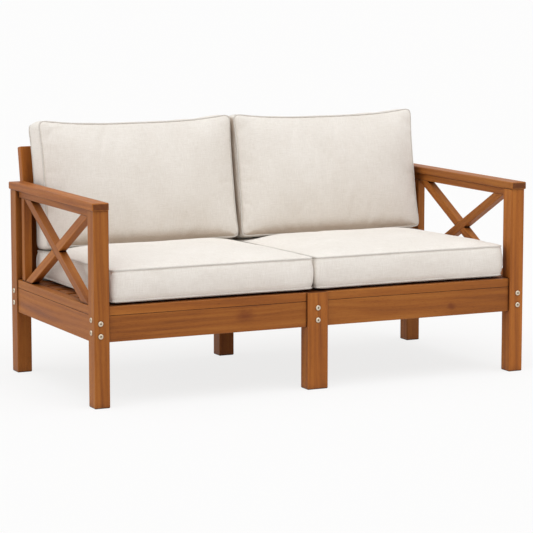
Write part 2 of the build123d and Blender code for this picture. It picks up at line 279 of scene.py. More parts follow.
WOOD_DARK = Vector((0.166, 0.042, 0.0060))
WOOD_MIDDLE = Vector((0.313, 0.094, 0.0115))
WOOD_LIGHT = Vector((0.424, 0.151, 0.024))
WOOD_TONES = ((0.22, WOOD_DARK), (0.50, WOOD_MIDDLE), (0.80, WOOD_LIGHT))
PORE_BROWN = (0.45, 0.33, 0.25, 1.0)
PORE_SHARE = 0.45
END_GRAIN = (0.42, 0.36, 0.34, 1.0)
END_STEPS = (0.75, 0.95)
WORN_TAN = (0.52, 0.22, 0.060, 1.0)
WORN_SHARE = 0.55
WORN_REACH = 0.0028
WORN_STEPS = (0.02, 0.22)
WORN_PATCHES = (0.35, 0.70)
# The noise's scale and detail
WORN_NOISE = (26.0, 3.0)
# Painted shade in the grooves and joints between boards, where a face is shut in within the
# crevice reach
CREVICE_PAINTED_SHADE = (0.16, 0.10, 0.07, 1.0)
CREVICE_REACH = 0.006
CREVICE_SHARES = (0.92, 0.55)
# Painted shade on the boards where the cushions and other parts stand near them, within the
# hollow reach
HOLLOW_PAINTED_SHADE = (0.42, 0.35, 0.30, 1.0)
HOLLOW_REACH = 0.045
HOLLOW_SHARES = (0.72, 0.20)
KNOT_RED = (0.60, 0.44, 0.46, 1.0)
KNOT_SHARE = 0.8
KNOT_NOISE_SCALE = 40.0
KNOT_WANDER = Vector((0.02, 0.0, 0.014))
KNOT_STRETCH = (0.62, 0.0, 1.0)
# The share of a knot's radius within which it has its full colour
KNOT_CORE = 0.1
# How dark or pale the boards are that show most, against the middle tone. The centre rear leg's
# low tone is painted shade.
BOARD_TONES = {
    "front_apron_left": 0.91, "front_apron_right": 0.93, "front_leg_left": 0.98,
    "front_leg_centre": 1.08, "front_leg_right": 1.16, "front_seat_rail_left": 1.0,
    "side_apron_left": 1.03, "armrest_left": 1.08, "armrest_right": 0.93,
    "back_post_left": 1.18, "rear_leg_left": 0.92, "rear_leg_centre": 0.78,
}
OTHER_TONES = (0.93, 1.08)
# The knots that show: the middle of each in metres, across and up its board, and its radius
KNOTS = {
    "front_apron_left": ((-0.232, 0.234), 0.026),
    "front_apron_right": ((0.455, 0.214), 0.014),
}
# How far a board's grain may tilt and turn in its log, and how far off the heart it was sawn
LOG_TILT = 0.02
LOG_TURN = 0.6
HEART_SIDE = 0.06
HEART_AWAY = (0.04, 0.09)
HEART_ALONG = 3.0
RING_STRETCH = (1.0, 1.0, 0.10)
RINGS = {"Scale": 21.0, "Distortion": 11.0, "Detail": 3.0, "Detail Scale": 0.42,
         "Detail Roughness": 0.6}
# Each figure's scale along the grain against that across it, then its noise's scale, detail and
# roughness
STREAKS = (0.045, 34.0, 4.0, 0.60)
PATCHES = (0.30, 9.0, 2.0, 0.5)
FIBRES = (0.014, 430.0, 4.0, 0.65)
PORES = (0.045, 1500.0, 1.0, 0.5)
PORE_STEPS = (0.60, 0.70)
RING_WEIGHT = 0.12
STREAK_WEIGHT = 0.62
FIBRE_WEIGHT = 0.36
PATCH_WEIGHT = 0.36
FIGURE_BASE = 0.215
PORE_DEPTH = 0.8
WOOD_BUMP = {"Strength": 0.35, "Distance": 0.0003}
EDGE_ROUND = 0.0014
BEVEL_SAMPLES = 4
WOOD_ROUGH = {"To Min": 0.40, "To Max": 0.62}
PORE_ROUGH = 0.15
WOOD_SPECULAR = 0.24

# The turn that brings each kind of board's grain to Z
GRAIN_TURNS = {
    "upright": (0.0, 0.0, 0.0),
    "across": (0.0, pi / 2, 0.0),
    "deep": (pi / 2, 0.0, 0.0),
    "leaning": (LEAN, 0.0, 0.0),
    "rising": (pi / 2 - BRACE_SLOPE, 0.0, 0.0),
    "falling": (BRACE_SLOPE - pi / 2, 0.0, 0.0),
}
BOARDS = {
    "upright": ("front_leg", "rear_leg", "panel_stile"),
    "across": ("front_seat_rail", "front_apron", "rear_apron", "seat_slat", "back_slat"),
    "deep": ("armrest", "under_arm_rail", "side_seat_rail", "side_apron", "centre_bearer",
             "slat_cleat"),
    "leaning": ("back_post",),
    "rising": ("rising_brace",),
    "falling": ("falling_brace",),
}


def knot_share(tree, middle, radius):
    """1 in the middle of a knot of a front board, and longer along the grain."""
    place = make(tree, "ShaderNodeTexCoord").outputs["Object"]
    wander = make(tree, "ShaderNodeTexNoise", {"Vector": place, "Scale": KNOT_NOISE_SCALE})
    place = make(tree, "ShaderNodeVectorMath",
                 {0: wander.outputs["Color"], 1: KNOT_WANDER, 2: place},
                 operation="MULTIPLY_ADD").outputs[0]
    centre = Vector((middle[0], 0.0, middle[1])) + KNOT_WANDER / 2
    away = make(tree, "ShaderNodeVectorMath", {0: place, 1: centre},
                operation="SUBTRACT").outputs[0]
    away = scaled(tree, away, KNOT_STRETCH)
    reach = make(tree, "ShaderNodeVectorMath", {0: away}, operation="LENGTH").outputs["Value"]
    return steps(tree, reach, radius, radius * KNOT_CORE)


def facing_share(tree, way):
    """1 on faces square to that way of the object."""
    normal = make(tree, "ShaderNodeTexCoord").outputs["Normal"]
    along = make(tree, "ShaderNodeVectorMath", {0: normal, 1: way},
                 operation="DOT_PRODUCT").outputs["Value"]
    return make(tree, "ShaderNodeMath", {0: along}, operation="ABSOLUTE").outputs[0]


def worn_edges(tree, vector):
    """1 on the board's edges, where the rounded normal leaves the face's own, in patches."""
    wide = make(tree, "ShaderNodeBevel", {"Radius": WORN_REACH}, samples=BEVEL_SAMPLES)
    own = make(tree, "ShaderNodeNewGeometry").outputs["True Normal"]
    along = make(tree, "ShaderNodeVectorMath", {0: wide.outputs["Normal"], 1: own},
                 operation="DOT_PRODUCT").outputs["Value"]
    edge = steps(tree, link_math(tree, "SUBTRACT", 1.0, along), *WORN_STEPS)
    patches = steps(tree, noise_value(tree, vector, *WORN_NOISE), *WORN_PATCHES)
    return link_math(tree, "MULTIPLY", edge, patches)


def log_frame(turn, centre, chance):
    """The turn and the shift from a board to the log that it was sawn from."""
    tilt = (chance.uniform(-LOG_TILT, LOG_TILT), chance.uniform(-LOG_TILT, LOG_TILT),
            chance.uniform(-LOG_TURN, LOG_TURN))
    turned = Euler(tilt).to_matrix() @ Euler(turn).to_matrix()
    heart = Vector((chance.uniform(-HEART_SIDE, HEART_SIDE),
                    chance.choice((-1, 1)) * chance.uniform(*HEART_AWAY),
                    chance.uniform(-HEART_ALONG, HEART_ALONG)))
    return turned, heart - turned @ centre


def grain_noise(tree, log, along, scale, detail, roughness):
    """Noise drawn out along the grain."""
    return noise_value(tree, scaled(tree, log, (1.0, 1.0, along)), scale, detail, roughness)


def wood_material(name, turn, centre, chance):
    """Oiled hardwood with the growth rings of its own log, its grain along the board."""
    material, tree = empty_material("wood_" + name)
    turned, shift = log_frame(turn, centre, chance)
    log = placed_coordinates(tree, turned.to_euler(), shift)
    rings = make(tree, "ShaderNodeTexWave", {"Vector": scaled(tree, log, RING_STRETCH), **RINGS},
                 wave_type="RINGS", rings_direction="Z", wave_profile="SIN").outputs["Fac"]
    streaks = grain_noise(tree, log, *STREAKS)
    patches = grain_noise(tree, log, *PATCHES)
    fibres = grain_noise(tree, log, *FIBRES)
    pores = steps(tree, grain_noise(tree, log, *PORES), *PORE_STEPS)
    figure = weighted(tree, ((rings, RING_WEIGHT), (streaks, STREAK_WEIGHT),
                             (fibres, FIBRE_WEIGHT), (patches, PATCH_WEIGHT)))
    figure = link_math(tree, "SUBTRACT", figure, FIGURE_BASE)
    tone = BOARD_TONES.get(name, chance.uniform(*OTHER_TONES))
    colour = ramp(tree, figure, [(position, shade * tone) for position, shade in WOOD_TONES])
    if name in KNOTS:
        knot = link_math(tree, "MULTIPLY", knot_share(tree, *KNOTS[name]), KNOT_SHARE)
        colour = blended(tree, "MULTIPLY", knot, colour, KNOT_RED)
    pored = link_math(tree, "MULTIPLY", pores, PORE_SHARE)
    colour = blended(tree, "MULTIPLY", pored, colour, PORE_BROWN)
    grain = turned.transposed() @ Vector((0, 0, 1))
    end = steps(tree, facing_share(tree, grain), *END_STEPS)
    colour = blended(tree, "MULTIPLY", end, colour, END_GRAIN)
    worn = link_math(tree, "MULTIPLY", worn_edges(tree, log), WORN_SHARE)
    colour = blended(tree, "MIX", worn, colour, WORN_TAN)
    # Painted shade where other parts stand near the board
    hollow_shade = shut_in(tree, HOLLOW_REACH, HOLLOW_SHARES)
    colour = blended(tree, "MULTIPLY", hollow_shade, colour, HOLLOW_PAINTED_SHADE)
    # Painted shade in the grooves and joints
    crevice_shade = shut_in(tree, CREVICE_REACH, CREVICE_SHARES)
    colour = blended(tree, "MULTIPLY", crevice_shade, colour, CREVICE_PAINTED_SHADE)
    height = link_math(tree, "SUBTRACT", fibres, link_math(tree, "MULTIPLY", pores, PORE_DEPTH))
    rounded = make(tree, "ShaderNodeBevel", {"Radius": EDGE_ROUND}, samples=BEVEL_SAMPLES)
    bump = make(tree, "ShaderNodeBump",
                {**WOOD_BUMP, "Height": height, "Normal": rounded.outputs["Normal"]})
    gloss = make(tree, "ShaderNodeMapRange", {"Value": streaks, **WOOD_ROUGH})
    rough = link_math(tree, "ADD", gloss.outputs["Result"],
                      link_math(tree, "MULTIPLY", pores, PORE_ROUGH))
    shader = make(tree, "ShaderNodeBsdfPrincipled",
                  {"Base Color": colour, "Roughness": rough, "Normal": bump.outputs["Normal"],
                   "Specular IOR Level": WOOD_SPECULAR})
    make(tree, "ShaderNodeOutputMaterial", {"Surface": shader.outputs[0]})
    return material


def dress_wood():
    """Every board gets its own log, in the order of the nodes' names."""
    for name in sorted(nodes):
        for kind, starts in BOARDS.items():
            if name.startswith(starts) and "bolts" not in name:
                low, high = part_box(name)
                chance = random.Random("wood " + name)
                material = wood_material(name, GRAIN_TURNS[kind], (low + high) / 2, chance)
                mesh = nodes[name].data
                mesh.materials.clear()
                mesh.materials.append(material)


# Steel

NICKEL_TONES = ((0.3, (0.54, 0.45, 0.34)), (0.7, (0.74, 0.63, 0.49)))
# Each noise's scale and detail
NICKEL_CLOUDS = (260.0, 3.0)
NICKEL_GRAIN = (2600.0, 2.0)
NICKEL_ROUGH = {"To Min": 0.24, "To Max": 0.42}
NICKEL_BUMP = {"Strength": 0.15, "Distance": 0.0001}
# Painted shade inside the bolt heads' sockets
SOCKET_PAINTED_SHADE = (0.30, 0.24, 0.18, 1.0)
SOCKET_REACH = 0.004
SOCKET_SHARES = (0.85, 0.35)
ROUND = 48
# A bolt head's outline from its foot to its top: radius and height
HEAD_PROFILE = ((0.0076, 0.0), (0.0076, 0.0011), (0.0073, 0.0017), (0.0067, 0.0022),
                (0.0058, 0.00250), (0.0048, 0.0026), (0.0036, 0.0026))
SOCKET_HALF = 0.0025
SOCKET_RIM = 0.0023
RIM_WIDTH = 0.0002
RIM_RISE = 0.00015
SOCKET_FLOOR = -0.0014
SHANK_RADIUS = 0.003
CONNECTOR_SHANK = 0.085
POST_SHANK = 0.066


def steel_material():
    """Satin nickel with a fine grain, with painted shade inside the sockets."""
    material, tree = empty_material("satin_nickel")
    place = make(tree, "ShaderNodeTexCoord").outputs["Object"]
    cloud = noise_value(tree, place, *NICKEL_CLOUDS)
    fine = noise_value(tree, place, *NICKEL_GRAIN)
    colour = ramp(tree, cloud, NICKEL_TONES)
    # Painted shade inside the socket
    socket = shut_in(tree, SOCKET_REACH, SOCKET_SHARES)
    colour = blended(tree, "MULTIPLY", socket, colour, SOCKET_PAINTED_SHADE)
    rough = make(tree, "ShaderNodeMapRange", {"Value": fine, **NICKEL_ROUGH})
    bump = make(tree, "ShaderNodeBump", {**NICKEL_BUMP, "Height": fine})
    shader = make(tree, "ShaderNodeBsdfPrincipled",
                  {"Base Color": colour, "Roughness": rough.outputs["Result"], "Metallic": 1.0,
                   "Normal": bump.outputs["Normal"]})
    make(tree, "ShaderNodeOutputMaterial", {"Surface": shader.outputs[0]})
    return material


def hexagon_reach(angle):
    """How far the socket's wall is from its middle at that angle."""
    return SOCKET_HALF / cos((angle + pi / 6) % (pi / 3) - pi / 6)


def add_bolt(mesh, place, shank):
    """One round-headed socket bolt. Its head points along +Z of its place."""
    angles = [2 * pi * index / ROUND for index in range(ROUND)]
    walls = [hexagon_reach(angle) for angle in angles]
    circles = [[(SHANK_RADIUS, -shank)] * ROUND, [(SHANK_RADIUS, 0.0)] * ROUND]
    circles += [[(radius, height)] * ROUND for radius, height in HEAD_PROFILE]
    circles.append([(wall + RIM_WIDTH, SOCKET_RIM + RIM_RISE) for wall in walls])
    circles.append([(wall, SOCKET_RIM) for wall in walls])
    circles.append([(wall, SOCKET_FLOOR) for wall in walls])
    loops = []
    for circle in circles:
        loops.append([mesh.verts.new(place @ Vector((r * cos(a), r * sin(a), z)))
                      for (r, z), a in zip(circle, angles)])
    for lower, upper in zip(loops, loops[1:]):
        for index in range(ROUND):
            after = (index + 1) % ROUND
            mesh.faces.new((lower[index], lower[after], upper[after], upper[index]))
    mesh.faces.new(loops[0][::-1])
    mesh.faces.new(loops[-1])


def facing(point, way):
    """The place of a bolt with its head towards way."""
    turn = Vector(way).to_track_quat("Z", "Y").to_matrix().to_4x4()
    return Matrix.Translation(Vector(point) + Vector((0, CENTRE_SHIFT, 0))) @ turn


def connector_places():
    """The bolts in the legs' end faces, front and rear, and in their outer faces."""
    places = []
    for end, way in ((0.0, -1), (FRAME_DEPTH, 1)):
        for height in BOLT_HEIGHTS:
            for across in (0.0, -SIDE_BOLT_ACROSS, SIDE_BOLT_ACROSS):
                places.append(facing((across, end, height), (0, way, 0)))
            inset = end - way * END_BOLT_INSET
            for side in (-1, 1):
                point = (side * HALF_WIDTH, inset, height + SIDE_BOLT_RISE)
                places.append(facing(point, (side, 0, 0)))
    return places


def post_places():
    """The bolts that hold the outer back posts, in the posts' inner faces."""
    places = []
    for side in (-1, 1):
        for up in POST_BOLT_ROWS:
            y = REAR_RAIL_FRONT + up * sin(LEAN) + POST_THICKNESS / 2 * cos(LEAN)
            z = SEAT_TOP + up * cos(LEAN) - POST_THICKNESS / 2 * sin(LEAN)
            places.append(facing((side * POST_INNER, y, z), (-side, 0, 0)))
    return places


def bolts(name, node, places, shank, material):
    """A set of bolts that stands for one of the part's nodes."""
    mesh = bmesh.new()
    for place in places:
        add_bolt(mesh, place, shank)
    bmesh.ops.recalc_face_normals(mesh, faces=mesh.faces)
    piece = piece_from(name, mesh)
    piece.data.materials.append(material)
    finish_piece(piece, node, "frame")


# Cushions

# A boxed cushion in its own frame: its half width along X, its depth along Y, and its lower and
# upper seam along Z. fall is how much lower the upper seam ends at the far edge. A panel's crown
# rises over its runs: in from the sides, from the near edge and from the far edge. dips says how
# far the seams are drawn in: at the sides, at the near edge of the lower and of the upper panel,
# and at the far edge. bulge is the band's, and radius the corners'. held_low says that the
# cushion rests on its lower panel, which the filling then leaves as it is. droop is how far the
# near edge hangs down at its ends, and pressed the share of the upper crown that is lost under a
# cushion that stands on it.
Form = namedtuple("Form", "half deep low high fall low_crown high_crown low_runs high_runs "
                          "dips bulge radius held_low droop pressed")
SEAT_FORM = Form(half=0.321, deep=0.616, low=0.0100, high=0.0992, fall=0.0123,
                 low_crown=0.0097, high_crown=0.031,
                 low_runs=(0.060, 0.060, 0.060), high_runs=(0.150, 0.140, 0.380),
                 dips=(0.007, 0.006, 0.006, 0.007), bulge=0.0055, radius=0.020, held_low=True,
                 droop=0.0, pressed=0.62)
BACK_FORM = Form(half=0.321, deep=0.3835, low=0.0400, high=0.1280, fall=0.0,
                 low_crown=0.0396, high_crown=0.038,
                 low_runs=(0.150, 0.120, 0.130), high_runs=(0.150, 0.120, 0.130),
                 dips=(0.008, 0.0025, -0.0065, 0.018), bulge=0.0045, radius=0.024, held_low=False,
                 droop=0.012, pressed=0.0)
# The cushions' places: the middle of each across, the seat's front edge, the height of the back
# cushions' foot up the lean, and the small gaps to the slats
CUSHION_ACROSS = 0.322
SEAT_FRONT = 0.016
BACK_FOOT = 0.0872
SEAT_GAP = 0.0003
BACK_GAP = 0.00035
# The grid's cell, its rows beside a seam, and its rows up a band of that height
CELL = 0.011
EDGE_ROWS = (0.0, 0.004, 0.010, 0.018)
BAND_ROWS = (0.004, 0.011, 0.021, 0.033, 0.046, 0.058, 0.069, 0.078, 0.084)
BAND_HEIGHT = 0.088
# How a crown rises over its run, and how its rises from two edges blend in a corner
CROWN_POWER = 0.66
CORNER_BLEND = 2.5
SIDE_DIP_POWER = 4
END_DIP_POWER = 3
# The parts of the cover, each with its own material
PANEL, END_BAND, SIDE_BAND = range(3)
WELT_INSET = 0.0020
WELT_RADIUS = 0.0024
WELT_LIFT = 0.0006
WELT_SIDES = 8
WELT_PASSES = 2
GROOVE = 0.0015
GROOVE_WIDTH = 0.007
SEAM_GROOVE = 0.7 * GROOVE
# The share of a crown that is there before the filling, and the most that a point may then move
START_SHARE = 0.62
CAP = 0.026
BAND_CAP = 0.004
FRAMES = 20
# Blender's cloth settings. The cover may grow by a little while it fills.
FILLING = {
    "quality": 5, "mass": 0.4, "tension_stiffness": 12, "compression_stiffness": 12,
    "shear_stiffness": 6, "bending_stiffness": 0.6, "shrink_min": -0.012, "use_pressure": True,
    "uniform_pressure_force": 4.0,
}
# Where a crown's rise is measured: at that share of its depth, within that reach
MIDDLE_SHARE = 0.45
MIDDLE_REACH = 0.05
LEAST_RISE = 0.002
LEAST_MOVE = 0.000001
# Puckers beside the seams, and the swells of panels and bands: their height, how far they reach
# or fade, and the scale of their noise
PUCKER = 0.0007
PUCKER_REACH = 0.022
PANEL_PUCKERS = 48
BAND_PUCKERS = 40
SWELL = 0.0022
SWELL_FADE = 0.05
BROAD_SWELL = (7, 9)
FINE_SWELL = (22, 17)
FINE_LEVEL = 3
FINE_SHARE = 0.4
NOISE_SPREAD = 50
BAND_SWELL = 0.0012
BAND_SWELLS = 13
BAND_PASSES = 3
# Where the back cushion starts to press a seat cushion in, and over what distance
PRESS_START = 0.488
PRESS_RUN = 0.035
# The most that a side may stand out, and the least height over what carries the cushion
SIDE_REACH = 0.3214
REST_GAP = 0.0004


def rows(length, cell):
    """Rows of a panel, closer together beside its seams."""
    inner = length - 2 * EDGE_ROWS[-1]
    count = round(inner / cell)
    middle = [EDGE_ROWS[-1] + inner * index / count for index in range(1, count)]
    return [*EDGE_ROWS, *middle, *(length - row for row in reversed(EDGE_ROWS))]


def crown_share(t):
    """How far a crown has risen at that share of its run."""
    return sin(pi / 2 * min(max(t, 0.0), 1.0) ** CROWN_POWER)


def rise(form, runs, a, b):
    """The share of its height that a crown has at a point of its panel."""
    side, low, high = runs
    across = crown_share((form.half - abs(a)) / side)
    along = min(crown_share(b / low), crown_share((form.deep - b) / high))
    if min(across, along) <= 0:
        return 0.0
    return (across ** -CORNER_BLEND + along ** -CORNER_BLEND - 1) ** (-1 / CORNER_BLEND)


def plan_point(form, a, b, way):
    """A point of a panel's plan, with rounded corners and sides drawn in between them."""
    half, middle, radius = form.half, form.deep / 2, form.radius
    out_a = (abs(a) - half + radius) / radius
    out_b = (abs(b - middle) - middle + radius) / radius
    if out_a > 0 and out_b > 0:
        share = max(out_a, out_b) / hypot(out_a, out_b)
        a = (half - radius + out_a * share * radius) * (1 if a > 0 else -1)
        b = middle + (middle - radius + out_b * share * radius) * (1 if b > middle else -1)
    side_dip, lower_dip, upper_dip, high_dip = form.dips
    low_dip = upper_dip if way > 0 else lower_dip
    v = b / form.deep
    u = a / half
    a *= 1 - (side_dip * (1 - (2 * v - 1) ** SIDE_DIP_POWER) + WELT_INSET) / half
    drawn = 1 - abs(u) ** END_DIP_POWER
    b += (low_dip * drawn + WELT_INSET) * (1 - v) - (high_dip * drawn + WELT_INSET) * v
    # The near edge hangs down where the crown of the seat cushion below it falls away
    sag = 1 - crown_share((half - abs(a)) / SEAT_FORM.high_runs[0])
    return a, b - form.droop * sag * sag * (1 - v) ** 2


def cushion_grid(form):
    """A boxed cushion before it is filled.

    Gives its points, its faces with their part of the cover, the rows of its band from seam to
    seam, and how many points a panel has."""
    across = [value - form.half for value in rows(2 * form.half, CELL)]
    along = rows(form.deep, CELL)
    wide, deep = len(across), len(along)
    points = []
    for level, way, crown, runs in ((form.low, -1, form.low_crown, form.low_runs),
                                    (form.high, 1, form.high_crown, form.high_runs)):
        share = 1.0 if way < 0 and form.held_low else START_SHARE
        for b in along:
            for a in across:
                x, y = plan_point(form, a, b, way)
                fall = form.fall * b / form.deep if way > 0 else 0.0
                z = level - fall + way * crown * share * rise(form, runs, a, b)
                points.append(Vector((x, y, z)))
    size = wide * deep
    low_loop = list(range(wide))
    low_loop += [j * wide + wide - 1 for j in range(1, deep)]
    low_loop += [(deep - 1) * wide + i for i in range(wide - 2, -1, -1)]
    low_loop += [j * wide for j in range(deep - 2, 0, -1)]
    high_loop = [index + size for index in low_loop]
    outward = loop_normals(points, low_loop)
    band = [low_loop]
    for row in BAND_ROWS:
        t = row / BAND_HEIGHT
        ring = []
        for low, high, out in zip(low_loop, high_loop, outward):
            ring.append(len(points))
            points.append(points[low].lerp(points[high], t) + out * form.bulge * 4 * t * (1 - t))
        band.append(ring)
    band.append(high_loop)
    faces = []
    for j in range(deep - 1):
        for i in range(wide - 1):
            start = j * wide + i
            quad = (start, start + 1, start + wide + 1, start + wide)
            faces.append((quad[::-1], PANEL))
            faces.append((tuple(index + size for index in quad), PANEL))
    count = len(low_loop)
    for lower, upper in zip(band, band[1:]):
        for index in range(count):
            after = (index + 1) % count
            out = outward[index]
            region = SIDE_BAND if abs(out.x) > abs(out.y) else END_BAND
            faces.append(((lower[index], lower[after], upper[after], upper[index]), region))
    return points, faces, band, size


def loop_normals(points, loop):
    """The level direction out of a closed loop at each of its points."""
    normals = []
    count = len(loop)
    for index in range(count):
        before = points[loop[index - 1]]
        after = points[loop[(index + 1) % count]]
        way = after - before
        normals.append(Vector((way.y, -way.x, 0)).normalized())
    return normals


def filled(form, points, faces, band, size):
    """The grid after air pressure has filled it, as new points. The seams hold."""
    mesh = bpy.data.meshes.new("filling")
    mesh.from_pydata(points, [], [quad for quad, region in faces])
    piece = linked("filling", mesh)
    held = set(band[0]) | set(band[-1])
    if form.held_low:
        held |= set(range(size))
    piece.vertex_groups.new(name="held").add(sorted(held), 1.0, "REPLACE")
    cloth = piece.modifiers.new("cloth", "CLOTH")
    cloth.point_cache.frame_start = 1
    cloth.point_cache.frame_end = FRAMES
    for name, value in FILLING.items():
        setattr(cloth.settings, name, value)
    cloth.settings.vertex_group_mass = "held"
    cloth.settings.effector_weights.gravity = 0.0
    cloth.collision_settings.use_collision = False
    for number in range(1, FRAMES + 1):
        scene.frame_set(number)
    shown = piece.evaluated_get(bpy.context.evaluated_depsgraph_get())
    moved = [vertex.co.copy() for vertex in shown.data.vertices]
    scene.frame_set(1)
    bpy.data.objects.remove(piece)
    bpy.data.meshes.remove(mesh)
    return moved


def settle(form, points, moved, size):
    """Capped moves, scaled so that each crown ends at its own height."""
    shifts = []
    for start, end in zip(points, moved):
        shift = end - start
        if shift.length > CAP:
            shift *= CAP / shift.length
        shifts.append(shift)
    middle = form.deep * MIDDLE_SHARE

    def factor(first, crown):
        near = [i for i in range(first, first + size)
                if abs(points[i].x) < MIDDLE_REACH and abs(points[i].y - middle) < MIDDLE_REACH]
        mean = sum(abs(shifts[i].z) for i in near) / len(near)
        return crown * (1 - START_SHARE) / max(mean, LEAST_RISE)

    low_factor = 1.0 if form.held_low else factor(0, form.low_crown)
    high_factor = factor(size, form.high_crown)
    result = []
    for index, (start, shift) in enumerate(zip(points, shifts)):
        if index < size:
            result.append(start + shift * low_factor)
        elif index < 2 * size:
            result.append(start + shift * high_factor)
        else:
            share = min(shift.length, BAND_CAP) / max(shift.length, LEAST_MOVE)
            result.append(start + shift * share)
    return result


def press(form, points, size):
    """The crown is lower where the back cushion stands on it."""
    for point in points[size:2 * size]:
        level = form.high - form.fall * point.y / form.deep
        t = min(max((point.y - PRESS_START) / PRESS_RUN, 0.0), 1.0)
        point.z -= max(point.z - level, 0.0) * form.pressed * t * t * (3 - 2 * t)


def seam_distance(form, point):
    """How far inside the seams' outline a point is."""
    return min(form.half - abs(point.x), point.y, form.deep - point.y)


def panel_swell(point, offset):
    """The soft unevenness of a panel, broad and fine."""
    broad_x, broad_y = BROAD_SWELL
    fine_x, fine_y = FINE_SWELL
    broad = noise.noise(Vector((point.x * broad_x, point.y * broad_y, 0)) + offset)
    fine = noise.noise(Vector((point.x * fine_x, point.y * fine_y, FINE_LEVEL)) + offset)
    return SWELL * broad + FINE_SHARE * SWELL * fine


def crumple(form, points, band, size, chance):
    """Grooves beside the seams, puckers that fade from them, and a soft unevenness."""
    offset = Vector([chance.uniform(-NOISE_SPREAD, NOISE_SPREAD) for axis in range(3)])
    outward = loop_normals(points, band[0])
    seam = set(band[0]) | set(band[-1])
    for index in range(size if form.held_low else 0, 2 * size):
        if index in seam:
            continue
        point = points[index]
        away = max(seam_distance(form, point), 0.0)
        up = 1 if index >= size else -1
        pucker = PUCKER * exp(-away / PUCKER_REACH) * noise.noise(point * PANEL_PUCKERS + offset)
        fade = min(away / SWELL_FADE, 1.0)
        groove = GROOVE if away < GROOVE_WIDTH else 0.0
        point.z += up * (pucker + panel_swell(point, offset) * fade - groove)
    for row, height in zip(band[1:-1], BAND_ROWS):
        smoothed_loop(points, row, BAND_PASSES)
        away = min(height, BAND_HEIGHT - height)
        groove = GROOVE if away < GROOVE_WIDTH else 0.0
        for index, out in zip(row, outward):
            point = points[index]
            fine = PUCKER * exp(-away / PUCKER_REACH) * noise.noise(point * BAND_PUCKERS + offset)
            broad = BAND_SWELL * noise.noise(point * BAND_SWELLS + offset)
            point += out * (fine + broad - groove)
    for loop, up in ((band[0], -1), (band[-1], 1)):
        for index, out in zip(loop, outward):
            points[index] -= out * SEAM_GROOVE + Vector((0, 0, up * SEAM_GROOVE))
    for point in points:
        point.x = min(max(point.x, -SIDE_REACH), SIDE_REACH)
        point.z = max(point.z, REST_GAP)


def welt(mesh, points, loop, outward, up):
    """A corded seam: a closed tube that follows a seam."""
    count = len(loop)
    rings = []
    for index in range(count):
        out = outward[index]
        lift = (out + Vector((0, 0, up))).normalized() * WELT_LIFT
        centre = points[loop[index]] + lift
        ring = []
        for side in range(WELT_SIDES):
            angle = 2 * pi * side / WELT_SIDES
            spoke = out * cos(angle) + Vector((0, 0, 1)) * sin(angle)
            ring.append(mesh.verts.new(centre + spoke * WELT_RADIUS))
        rings.append(ring)
    for index in range(count):
        first, second = rings[index], rings[(index + 1) % count]
        for side in range(WELT_SIDES):
            after = (side + 1) % WELT_SIDES
            mesh.faces.new((first[side], second[side], second[after], first[after]))


def smoothed_loop(points, loop, passes):
    """Seam points evened out along the seam."""
    places = [points[index].copy() for index in loop]
    count = len(places)
    for turn in range(passes):
        places = [(places[i - 1] + places[i] * 2 + places[(i + 1) % count]) / 4
                  for i in range(count)]
    for index, place in zip(loop, places):
        points[index] = place


def cushion(word, kind, form, place, materials, welt_material):
    """A cushion's cover, which stands for the part's solid, and its corded seams."""
    name = f"{kind}_cushion_{word}"
    chance = random.Random(name)
    points, faces, band, size = cushion_grid(form)
    points = settle(form, points, filled(form, points, faces, band, size), size)
    crumple(form, points, band, size, chance)
    press(form, points, size)
    outward = loop_normals(points, band[0])
    mesh = bmesh.new()
    corners = [mesh.verts.new(place @ point) for point in points]
    for quad, region in faces:
        face = mesh.faces.new([corners[index] for index in quad])
        face.material_index = region
    bmesh.ops.recalc_face_normals(mesh, faces=mesh.faces)
    piece = piece_from(name + "_cover", mesh)
    for material in materials:
        piece.data.materials.append(material)
    piece.modifiers.new("subdivision", "SUBSURF")
    finish_piece(piece, name, f"{kind}_pad_{word}")
    mesh = bmesh.new()
    for loop, up in ((band[0], -1), (band[-1], 1)):
        smoothed_loop(points, loop, WELT_PASSES)
        welt(mesh, points, loop, outward, up)
    for vertex in mesh.verts:
        vertex.co = place @ vertex.co
    bmesh.ops.recalc_face_normals(mesh, faces=mesh.faces)
    cord = piece_from(name + "_welt", mesh)
    cord.data.materials.append(welt_material)
    finish_piece(cord, None, f"{kind}_pad_{word}")


# Fabric

FABRIC_LIGHT = Vector((0.840, 0.787, 0.722))
FABRIC_DARK = Vector((0.724, 0.660, 0.585))
FABRIC_TONES = ((0.36, FABRIC_DARK), (0.60, FABRIC_LIGHT))
# Painted light: the back cushions' side bands are made a little paler than the rest of the cover
SIDE_BAND_PAINTED_LIGHT = 1.06
# Painted shade: the corded seams are darkened so that they read as shaded lines
WELT_PAINTED_SHADE = 0.80
# The painted shade where the back cushions' panels and side bands are shut in
FOLD_PAINTED_SHADE = (0.64, 0.56, 0.49, 1.0)
FOLD_SHARES = (0.95, 0.42)
FOLD_REACH = 0.048
GAP_REACH = 0.020
THREAD = 0.0013
# The length of a wave of a wave texture of scale 1
WAVE_LENGTH = 2 * pi / 20
WEAVE_SHIFT = (0.3, 0.7, 0.1)
WEAVE_WAVER = {"Distortion": 0.6, "Detail": 1.0, "Detail Scale": 0.25}
# The shade between the threads
WEAVE_GAPS = (0.45, 0.05)
GAP_SHADE = (0.55, 0.50, 0.43, 1.0)
GAP_SHARE = 0.16
